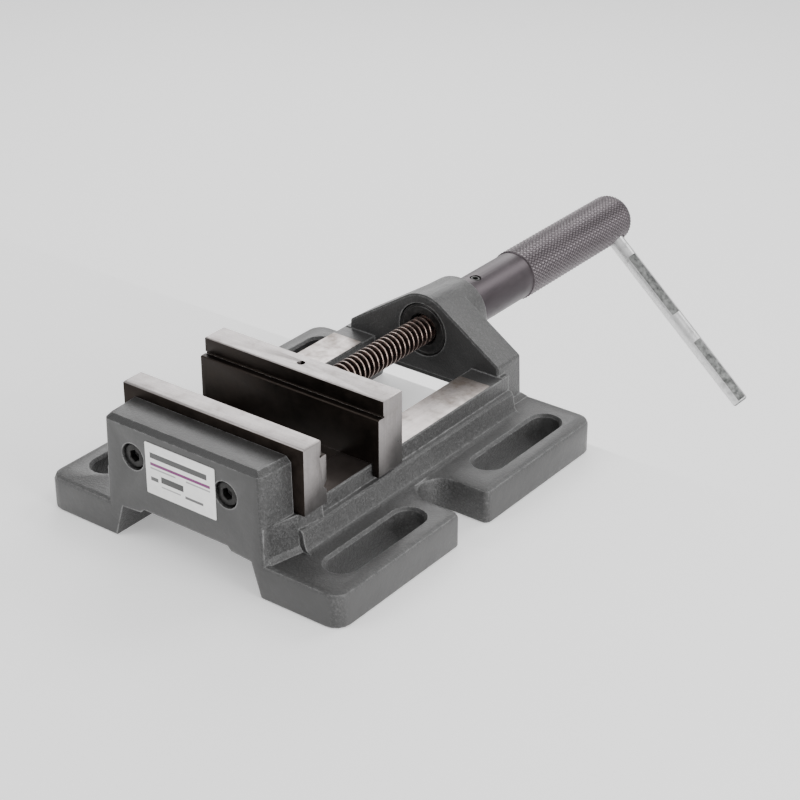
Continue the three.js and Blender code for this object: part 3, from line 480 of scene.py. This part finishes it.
SCREW_LOW, SCREW_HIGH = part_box("fixed_jaw_screw_left")
SX, SZ, FACE = centre_x("fixed_jaw_screw_left"), centre_z("fixed_jaw_screw_left"), SCREW_LOW.y
HEAD_R, HEAD_LONG, SHANK_R = 6.5 * MM, 8 * MM, 4 * MM
left_screw = turned("left_screw", [(5.7 * MM, FACE), (6.3 * MM, FACE + 0.25 * MM),
    (HEAD_R, FACE + 0.8 * MM), (HEAD_R, FACE + HEAD_LONG), (SHANK_R, FACE + HEAD_LONG + STEP),
    (SHANK_R, SCREW_HIGH.y - 0.8 * MM), (3.2 * MM, SCREW_HIGH.y)], 64, SX, SZ)
cut(left_screw, turned("socket_mouth", [(3.9 * MM, FACE - MM), (3.9 * MM, FACE),
    (3.1 * MM, FACE + 0.6 * MM)], 6, SX, SZ))
cut(left_screw, turned("socket", [(3.46 * MM, FACE - MM), (3.46 * MM, FACE + 4 * MM),
    (0.6 * MM, FACE + 5.4 * MM)], 6, SX, SZ))
right_screw = left_screw.copy()
right_screw.data = left_screw.data.copy()
right_screw.name = "right_screw"
bpy.context.scene.collection.objects.link(right_screw)
only(right_screw)
bpy.ops.transform.translate(value=(centre_x("fixed_jaw_screw_right") - SX, 0, 0))
bpy.ops.object.transform_apply(location=True)
finish_piece(left_screw, "base", "black_oxide", "fixed_jaw_screw_left")
finish_piece(right_screw, "base", "black_oxide", "fixed_jaw_screw_right")

# %% [markdown]
# ## The set screw and the pin
# A small grub screw clamps the sleeve to the nut, and a pin holds the spindle in the jaw. Both sit
# below their surface. The solids have the right shape, so they are copied with a finer broken edge.
# %% Small round pieces
grub = rounded_copy("handle_set_screw", "grub_screw", 0.15 * MM, segments=2)
finish_piece(grub, "handle", "black_oxide", "handle_set_screw")
pin = rounded_copy("spindle_lock_pin", "jaw_pin", 0.15 * MM, segments=2)
finish_piece(pin, "moving_jaw", "black_oxide", "spindle_lock_pin")
keeper = rounded_copy("keeper_plate", "keeper", 0.3 * MM, segments=2)
finish_piece(keeper, "moving_jaw", "ground_steel", "keeper_plate")

# %% [markdown]
# ## The label
# A printed film, four tenths of a millimetre thick with its glue, with round corners. Its print is
# only a stripe and plain bars, so the shape stays a thin plate and the print is left to its finish.
# %% Round the label's edge
label = rounded_copy("name_label", "front_label", 0.12 * MM, angle=40, segments=2)
finish_piece(label, "base", "label_film", "name_label")

# %% [markdown]
# ## Shader maths as arithmetic
# A finish is a graph of nodes, and a graph is hard to read as a list of links. A small class wraps a
# socket, so that numbers from nodes can be added and multiplied like any others, and one method
# makes every other node from its type, its settings and its inputs.
# %% A wire and a finish
class Wire:
    """The output of a node, used as a number or a vector in Python expressions."""

    def __init__(self, finish, socket):
        self.finish, self.socket = finish, socket

    def sum_with(self, operation, first, second):
        return self.finish.node("ShaderNodeMath", {"operation": operation}, {0: first, 1: second})

    def __add__(self, other): return self.sum_with("ADD", self, other)
    def __radd__(self, other): return self.sum_with("ADD", other, self)
    def __sub__(self, other): return self.sum_with("SUBTRACT", self, other)
    def __rsub__(self, other): return self.sum_with("SUBTRACT", other, self)
    def __mul__(self, other): return self.sum_with("MULTIPLY", self, other)
    def __rmul__(self, other): return self.sum_with("MULTIPLY", other, self)
    def __gt__(self, other): return self.sum_with("GREATER_THAN", self, other)
    def __lt__(self, other): return self.sum_with("LESS_THAN", self, other)


class Finish:
    """One material, with the places of its surface ready as wires."""

    def __init__(self, name, metallic=0.0, coat=0.0, coat_roughness=0.2):
        self.material = bpy.data.materials.new(name)
        self.material.use_nodes = True
        self.tree = self.material.node_tree
        self.shader = self.tree.nodes["Principled BSDF"]
        self.shader.inputs["Metallic"].default_value = metallic
        self.shader.inputs["Coat Weight"].default_value = coat
        self.shader.inputs["Coat Roughness"].default_value = coat_roughness
        self.place = self.node("ShaderNodeTexCoord", out="Object")
        split = self.node("ShaderNodeSeparateXYZ", inputs={0: self.place}).socket.node
        self.x, self.y, self.z = (Wire(self, split.outputs[i]) for i in range(3))
        facing = self.node("ShaderNodeSeparateXYZ",
            inputs={0: self.node("ShaderNodeTexCoord", out="Normal")}).socket.node
        self.nx, self.ny, self.nz = (Wire(self, facing.outputs[i]) for i in range(3))

    def node(self, kind, settings=None, inputs=None, out=0):
        node = self.tree.nodes.new(kind)
        for name, value in (settings or {}).items():
            if name == "stops":
                while len(node.color_ramp.elements) < len(value):
                    node.color_ramp.elements.new(0.5)
                for element, (position, colour) in zip(node.color_ramp.elements, value):
                    element.position, element.color = position, colour
            else:
                setattr(node, name, value)
        for key, value in (inputs or {}).items():
            if isinstance(value, Wire):
                self.tree.links.new(value.socket, node.inputs[key])
            else:
                node.inputs[key].default_value = value
        return Wire(self, node.outputs[out])

    def noise(self, scale, detail=3.0, roughness=0.55, stretch=(1, 1, 1)):
        place = self.node("ShaderNodeMapping", inputs={"Vector": self.place, "Scale": stretch})
        return self.node("ShaderNodeTexNoise", inputs={"Vector": place, "Scale": scale,
            "Detail": detail, "Roughness": roughness})

    def ramp(self, value, low, high, low_to=0.0, high_to=1.0):
        """A number that runs from low_to to high_to while value runs from low to high."""
        return self.node("ShaderNodeMapRange", {"clamp": True}, {"Value": value, "From Min": low,
            "From Max": high, "To Min": low_to, "To Max": high_to})

    def mix(self, factor, first, second):
        return self.node("ShaderNodeMix", {"data_type": "RGBA"},
            {0: factor, 6: first, 7: second}, out=2)

    def set(self, **sockets):
        for name, value in sockets.items():
            socket = self.shader.inputs[name.replace("_", " ")]
            if isinstance(value, Wire):
                self.tree.links.new(value.socket, socket)
            else:
                socket.default_value = value

    def bump(self, height, distance, strength=1.0):
        self.set(Normal=self.node("ShaderNodeBump", inputs={"Strength": strength,
            "Distance": distance, "Height": height}))


def grey(value, warm=0.0):
    """A grey with a touch of warmth, or of cold where warm is below zero."""
    return (value * (1 + warm), value, value * (1 - warm), 1)


def edge_mask(finish, radius):
    """1 along edges that stand out and 0 on flats: a bevelled normal leaves the face's own one."""
    soft = finish.node("ShaderNodeBevel", {"samples": 6}, {"Radius": radius})
    hard = finish.node("ShaderNodeNewGeometry", out="Normal")
    dot = finish.node("ShaderNodeVectorMath", {"operation": "DOT_PRODUCT"}, {0: soft, 1: hard},
        out="Value")
    return 1 - dot


print("finishes are made by", Finish.__name__)

# %% [markdown]
# ## Enamel on cast iron
# The casting is painted dark grey. The mould leaves a sandy grain under the paint, coarse on the
# sides and slot walls and almost gone on the front, which was rubbed down. Edges are rubbed brighter,
# and the same brightening is also a painted highlight on the rounded edges. The bracket's front,
# behind the jaws, gets painted shade. Grain is noise in the bump and the roughness, so it works in
# any light.
# %% The casting's paint
paint = Finish("enamel_on_iron", coat_roughness=0.32)
sand = paint.noise(760, 3.0, 0.7)
lumps = paint.noise(120, 2.0, 0.5)
cloud = paint.noise(28, 3.0, 0.6)
front = paint.ramp(paint.ny, -0.9, -0.98) * paint.ramp(paint.y, FRONT_Y + 3 * MM, FRONT_Y + MM)
foot_side = paint.ramp(paint.nx * paint.nx, 0.8, 0.95) * paint.ramp(paint.x * paint.x, 0.0085, 0.0092)
upward = paint.ramp(paint.nz, 0.8, 0.97)
sandy = (1 - front * 0.9) * (1 - foot_side * 0.85) * (1 - upward * 0.55)
chamfer = paint.ramp(paint.ny, -0.5, -0.65) * paint.ramp(paint.nz, 0.45, 0.6)
patchy = paint.ramp(paint.noise(300, 3), 0.35, 0.65, 0.25, 1.4)
# Bright edges: partly real wear, partly a painted highlight where light catches the rounded edges.
rubbed_edge_and_highlight = paint.ramp(edge_mask(paint, 1.8 * MM) * patchy, 0.015, 0.15)
# Painted shade: the bracket's front behind the jaws is darkened in colour and made a little rougher.
painted_bracket_shade = paint.ramp(paint.y, BRACKET_Y - 2 * MM, BRACKET_Y - 0.3 * MM) * paint.ramp(paint.ny, -0.35, -0.8)
base = paint.mix(paint.ramp(cloud, 0.35, 0.7), grey(0.024, 0.01), grey(0.036, 0.01))
specks = paint.ramp(sand, 0.48, 0.7) * sandy
base = paint.mix(specks * 0.5, base, grey(0.12))
base = paint.mix(chamfer * 0.9, base, grey(0.016))
base = paint.mix(painted_bracket_shade * 0.85, base, grey(0.012))
base = paint.mix(rubbed_edge_and_highlight * 0.55, base, grey(0.34))
paint.set(Base_Color=base, Coat_Weight=0.42 * (1 - sandy * 0.4),
    Roughness=paint.ramp(sand, 0.3, 0.7, 0.36, 0.52) + chamfer * 0.2 + painted_bracket_shade * 0.15)
paint.bump(sand * sandy + lumps * 0.5, 0.9 * MM, 0.9)
casting.data.materials.append(paint.material)

# %% [markdown]
# ## Ground rails
# Surface grinding leaves fine lines along the rails. Oil and hands turn the rear end brown. The
# lines are noise stretched along the rails, and the brown comes in with the distance from the jaw.
# Just in front of the sliding jaw the rails are painted near black: painted shade and a painted
# reflection of the dark jaw.
# %% The rails' finish
rails = Finish("ground_rail", metallic=0.9)
lines = rails.noise(900, 2.0, 0.6, (1, 0.03, 1))
blotch = rails.noise(95, 4.0, 0.65)
behind = rails.ramp(rails.y, 0.0, GROUND_END, 0.0, 1.0)
sliding_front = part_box("moving_jaw")[0].y
# Painted shade and painted reflection: the rails in front of the sliding jaw are darkened almost to
# black.
painted_shade_between_jaws = rails.ramp(rails.y, sliding_front + 8 * MM, sliding_front)
tarnish = rails.ramp(blotch + behind * 0.35, 0.62, 0.95)
shade = rails.mix(rails.ramp(lines, 0.3, 0.7), (0.50, 0.455, 0.44, 1), (0.60, 0.555, 0.54, 1))
shade = rails.mix(tarnish * 0.8, shade, (0.16, 0.125, 0.10, 1))
rails.set(Base_Color=rails.mix(painted_shade_between_jaws * 0.93, shade, (0.035, 0.026, 0.022, 1)),
    Roughness=rails.ramp(blotch, 0.3, 0.7, 0.3, 0.5))
rails.bump(lines, 0.02 * MM, 0.6)
casting.data.materials.append(rails.material)
for index in ground_faces:
    casting.data.polygons[index].material_index = 1
print("casting has", len(casting.data.materials), "finishes")

# %% [markdown]
# ## Jaw steel
# The jaws are ground all over, but the faces across the vise are left dark from hardening, while the
# top and the ends are bright. The ends also get painted shade, darkened and more so towards their
# foot. One finish does both: the direction that a face looks in decides, so the dark stops at the
# very edge.
# %% The jaws' finish
jaw = Finish("jaw_steel", metallic=0.92)
below_top = jaw.ramp(jaw.z, 77.4 * MM, 77 * MM) * jaw.ramp(jaw.nx * jaw.nx, 0.5, 0.3)
facing_across = jaw.ramp(jaw.ny * jaw.ny, 0.35, 0.8)
hardened = facing_across + below_top * (1 - facing_across)
across_lines = jaw.noise(800, 2.0, 0.6, (0.05, 1, 1))
end_lines = jaw.noise(900, 2.0, 0.6, (1, 1, 0.04))
stain = jaw.noise(110, 4.0, 0.6)
foot_shade = jaw.ramp(jaw.z, 34 * MM, 62 * MM, 0.85, 0.0) * jaw.ramp(jaw.nx * jaw.nx, 0.5, 0.9)
bright = jaw.mix(jaw.ramp(across_lines + end_lines, 0.7, 1.3), (0.29, 0.268, 0.264, 1),
    (0.38, 0.352, 0.347, 1))
bright = jaw.mix(jaw.ramp(stain, 0.58, 0.8) * 0.5, bright, (0.24, 0.2, 0.18, 1))
# Painted shade: the end faces are darkened by half, and further still towards their foot.
bright = jaw.mix(jaw.ramp(jaw.nx * jaw.nx, 0.5, 0.9) * 0.5, bright, (0.16, 0.152, 0.15, 1))
bright = jaw.mix(foot_shade, bright, (0.10, 0.097, 0.095, 1))
dark = jaw.mix(jaw.ramp(stain, 0.35, 0.7), (0.016, 0.012, 0.010, 1), (0.030, 0.023, 0.019, 1))
rim = jaw.ramp(edge_mask(jaw, 0.35 * MM), 0.08, 0.35)
colour = jaw.mix(rim * 0.85, jaw.mix(hardened, bright, dark), (0.62, 0.58, 0.56, 1))
jaw.set(Base_Color=colour, Roughness=jaw.ramp(stain, 0.3, 0.7, 0.27, 0.42) + hardened * 0.12)
jaw.bump(across_lines + end_lines, 0.015 * MM, 0.6)
for piece in (fixed_jaw, sliding_jaw):
    piece.data.materials.append(jaw.material)
print("jaw finish has", len(jaw.tree.nodes), "nodes")

# %% [markdown]
# ## The spindle's thread
# The thread was rolled and blackened, and the nut has rubbed its crests bright. How far a point is
# from the axis decides: crests are pinkish steel, and flanks and roots are dark and oily. The same
# distance tells the knurl's points from its grooves later.
# %% The thread's finish
def from_axis(finish):
    """How far a point is from the spindle's axis."""
    across = finish.node("ShaderNodeCombineXYZ", inputs={0: finish.x, 1: 0.0, 2: finish.z - AXIS_Z})
    return finish.node("ShaderNodeVectorMath", {"operation": "LENGTH"}, {0: across}, out="Value")


thread = Finish("spindle_steel", metallic=0.85)
reach = from_axis(thread)
grime = thread.noise(420, 3.0, 0.6)
crest = thread.ramp(reach + grime * 0.2 * MM, 7.97 * MM, 8.11 * MM)
flank = thread.mix(thread.ramp(grime, 0.4, 0.7), (0.014, 0.010, 0.009, 1), (0.05, 0.026, 0.02, 1))
thread.set(Base_Color=thread.mix(crest, flank, (0.46, 0.36, 0.32, 1)),
    Roughness=thread.ramp(grime, 0.3, 0.7, 0.25, 0.45))
thread.bump(grime, 0.04 * MM, 0.5)
spindle.data.materials.append(thread.material)

# %% [markdown]
# ## Black oxide
# Screws, nut, pin and washers of this kind have a thin black layer with a soft sheen, worn to steel
# on the rims. Base colour near black, a middling roughness and bright edges are enough.
# %% The blackened pieces
oxide = Finish("black_oxide", metallic=0.75)
mottle = oxide.noise(350, 3.0, 0.6)
rim = oxide.ramp(edge_mask(oxide, 0.4 * MM), 0.06, 0.3)
black = oxide.mix(oxide.ramp(mottle, 0.35, 0.7), grey(0.016), grey(0.04, 0.03))
oxide.set(Base_Color=oxide.mix(rim * 0.7, black, grey(0.3)),
    Roughness=oxide.ramp(mottle, 0.3, 0.7, 0.3, 0.5))
oxide.bump(mottle, 0.03 * MM, 0.5)
for piece in (nut, left_screw, right_screw, grub, pin):
    piece.data.materials.append(oxide.material)

# %% [markdown]
# ## The handle's steel
# Phosphated and oiled steel has a violet grey. The neck is polished smooth by the hand and carries
# soft dark smears, and the knurl holds dirt in its grooves and shines on its points.
# %% The sleeve's finish
grip = Finish("handle_steel", metallic=0.82)
reach = from_axis(grip)
smear = grip.noise(60, 4.0, 0.6, (1, 0.5, 1))
band = grip.ramp(grip.z - grip.x, 50 * MM, 40 * MM) * grip.ramp(grip.z - grip.x, 26 * MM, 38 * MM)
fine = grip.noise(900, 2.0, 0.6)
steel = grip.mix(grip.ramp(smear, 0.35, 0.7), (0.055, 0.046, 0.051, 1), (0.09, 0.077, 0.084, 1))
on_knurl = grip.ramp(grip.y, KNURL_Y, KNURL_Y + 0.2 * MM)
on_knurl = on_knurl * grip.ramp(grip.y, DOME_Y, DOME_Y + MM, 1.0, 0.0)
points = grip.ramp(reach, GRIP_R, GRIP_R + 0.35 * MM) * on_knurl
dirt = on_knurl - points
on_neck = 1 - grip.ramp(grip.y, KNURL_Y - 9 * MM, KNURL_Y)
neck_smear = on_neck * band * grip.ramp(smear, 0.25, 0.6, 0.5, 1.0)
steel = grip.mix(neck_smear * 0.8, steel, (0.03, 0.024, 0.028, 1))
steel = grip.mix(dirt * 0.8, steel, (0.05, 0.04, 0.045, 1))
steel = grip.mix(points * 0.45, steel, (0.38, 0.345, 0.362, 1))
grip.set(Base_Color=steel, Roughness=grip.ramp(smear, 0.3, 0.7, 0.34, 0.48))
grip.bump(fine + smear, 0.02 * MM, 0.5)
sleeve.data.materials.append(grip.material)

# %% [markdown]
# ## The bar's steel
# Bright drawn bar, pitted and mottled where it was pressed flat. Where it is still round it shines.
# %% The bar's finish
drawn = Finish("drawn_bar", metallic=0.9)
pits = drawn.noise(330, 4.0, 0.7)
spots = drawn.noise(120, 3.0, 0.6)
from_middle = drawn.node("ShaderNodeVectorMath", {"operation": "SUBTRACT"},
    {0: drawn.place, 1: (0, BAR_Y, AXIS_Z)})
sideways = drawn.node("ShaderNodeVectorMath", {"operation": "CROSS_PRODUCT"},
    {0: from_middle, 1: tuple(BAR_DIRECTION)})
reach = drawn.node("ShaderNodeVectorMath", {"operation": "LENGTH"}, {0: sideways}, out="Value")
round_part = drawn.ramp(reach, 4.85 * MM, 4.97 * MM)
flat_grey = drawn.mix(drawn.ramp(pits, 0.35, 0.65), (0.10, 0.103, 0.10, 1), (0.27, 0.275, 0.27, 1))
bright = drawn.mix(drawn.ramp(spots, 0.55, 0.8), (0.62, 0.62, 0.62, 1), (0.3, 0.3, 0.3, 1))
drawn.set(Base_Color=drawn.mix(round_part, flat_grey, bright),
    Roughness=drawn.ramp(pits, 0.3, 0.7, 0.28, 0.5))
drawn.bump(pits, 0.12 * MM, 0.6)
bar.data.materials.append(drawn.material)

# %% [markdown]
# ## The label's print
# White film with one thin stripe and some grey bars. Each mark is a box test on the place across and
# up the label, so no picture is needed and nothing on it can be read.
# %% The label's finish
film = Finish("label_film", coat=0.3, coat_roughness=0.15)
LABEL_X, LABEL_Z = centre_x("name_label"), centre_z("name_label")


def mark(x0, x1, z0, z1):
    """1 inside a rectangle measured in millimetres from the label's middle."""
    u, v = film.x - LABEL_X, film.z - LABEL_Z
    return (u > x0 * MM) * (u < x1 * MM) * (v > z0 * MM) * (v < z1 * MM)


tint = film.noise(200, 2.0, 0.5)
paper = film.mix(film.ramp(tint, 0.3, 0.7), (0.80, 0.80, 0.79, 1), (0.88, 0.88, 0.87, 1))
paper = film.mix(mark(-20, 20, 2.2, 3.9), paper, (0.16, 0.012, 0.12, 1))
BARS = ((-20, 18, 6.4, 9.6, 0.06), (-20, -3, 0.2, 1.1, 0.35), (4, 20, 0.2, 1.1, 0.35),
    (-13, 2, -6.0, -2.4, 0.03), (-20, -15, -6.6, -4.4, 0.06), (-13, 0, -8.8, -8.0, 0.35),
    (3, 15, -9.4, -7.9, 0.1))
for x0, x1, z0, z1, shade in BARS:
    paper = film.mix(mark(x0, x1, z0, z1), paper, grey(shade))
film.set(Base_Color=paper, Roughness=film.ramp(tint, 0.3, 0.7, 0.35, 0.45))
film.bump(tint, 0.02 * MM, 0.3)
label.data.materials.append(film.material)
print("label finish has", len(film.tree.nodes), "nodes")

# %% [markdown]
# ## Zinc, bronze and the ground keeper
# The pieces that hide under the jaw and in the bracket get finishes too, because the vise is looked
# at from below as well. They share one recipe: a metal, a mottled tone and fine marks.
# %% Plain metals
def plain_metal(name, low, high, roughness, stretch=(1, 1, 1)):
    metal = Finish(name, metallic=0.9)
    tone = metal.noise(260, 3.0, 0.6)
    scratch = metal.noise(1100, 2.0, 0.6, stretch)
    metal.set(Base_Color=metal.mix(metal.ramp(tone, 0.3, 0.7), low, high),
        Roughness=metal.ramp(scratch, 0.3, 0.7, roughness - 0.07, roughness + 0.1))
    metal.bump(scratch, 0.02 * MM, 0.5)
    return metal.material


zinc = plain_metal("zinc_plate", (0.50, 0.51, 0.50, 1), (0.62, 0.63, 0.61, 1), 0.3)
bronze = plain_metal("bearing_bronze", (0.36, 0.25, 0.12, 1), (0.50, 0.36, 0.17, 1), 0.35)
ground = plain_metal("ground_keeper", (0.42, 0.40, 0.39, 1), (0.54, 0.52, 0.50, 1), 0.34, (0.04, 1, 1))
keeper.data.materials.append(ground)
for node, material in (("fixed_jaw_washer_left", zinc), ("fixed_jaw_washer_right", zinc),
        ("keeper_washer_left", zinc), ("keeper_washer_right", zinc), ("thrust_washer", bronze),
        ("keeper_screw_left", oxide.material), ("keeper_screw_right", oxide.material)):
    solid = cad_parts[node]
    for place in solid.material_slots:
        place.material = material
print("solids kept as they are:", sum(not o.hide_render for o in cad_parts.values()))

# %% [markdown]
# ## The table, the light and the camera
# The free end of the bar hangs below the feet, so the vise stands at the edge of a pale table. A
# large soft light behind on the left is mirrored by the level faces, one behind on the right by the
# bracket's slopes, one from the right lights the sides, and a weaker one from the front left and a
# bright sky fill the rest. The table glows a little, so that it stays pale and lifts the sides.
# %% Build the stage
GLOW = 0.33


def stage_slab(name, size, centre, colour):
    bpy.ops.object.select_all(action="DESELECT")
    bpy.ops.mesh.primitive_cube_add(size=1, location=centre)
    slab = bpy.context.object
    slab.name = slab.data.name = name
    bpy.ops.transform.resize(value=size)
    bpy.ops.object.transform_apply(location=True, rotation=True, scale=True)
    pale = Finish(name + "_finish")
    pale.set(Base_Color=colour, Roughness=0.9, Emission_Color=(1, 1, 1, 1), Emission_Strength=GLOW)
    slab.data.materials.append(pale.material)
    return slab


stage_slab("table", (6.0, 4.0, 0.02), (0, CAST_HIGH.y - 6 * MM - 2.0, -0.01), (0.9, 0.9, 0.9, 1))
stage_slab("floor", (12.0, 12.0, 0.02), (0, 2.0, -0.32), (0.9, 0.9, 0.9, 1))

world = bpy.data.worlds.new("sky")
bpy.context.scene.world = world
world.use_nodes = True
sky = world.node_tree.nodes["Background"]
sky.inputs["Color"].default_value = (1, 1, 1, 1)
sky.inputs["Strength"].default_value = 0.8


def soft_light(name, place, aim, size, power):
    lamp = bpy.data.lights.new(name, "AREA")
    lamp.energy, lamp.size = power, size
    holder = bpy.data.objects.new(name, lamp)
    bpy.context.scene.collection.objects.link(holder)
    holder.location = place
    holder.rotation_euler = (Vector(aim) - Vector(place)).to_track_quat("-Z", "Y").to_euler()
    return holder


for name, place, aim, size, power in (("key", (-0.6, -0.9, 1.0), (0, 0, 0.03), 0.8, 6),
        ("side", (1.4, -0.1, 0.5), (0, 0, 0.03), 0.8, 20),
        ("back", (-1.0, 1.3, 0.9), (0, 0, 0.05), 1.1, 13),
        ("rear", (0.6, 1.5, 1.25), (0, 0.1, 0.05), 0.8, 11)):
    soft_light(name, place, aim, size, power)

lens = bpy.data.cameras.new("camera")
lens.lens, lens.sensor_width = 92.13, 36
camera = bpy.data.objects.new("camera", lens)
bpy.context.scene.collection.objects.link(camera)
camera.location = (0.61512, -0.74715, 0.56780)
camera.rotation_euler = (math.radians(61.7), 0, math.radians(37.13))
bpy.context.scene.camera = camera
print("camera looks down by 28.3 degrees")
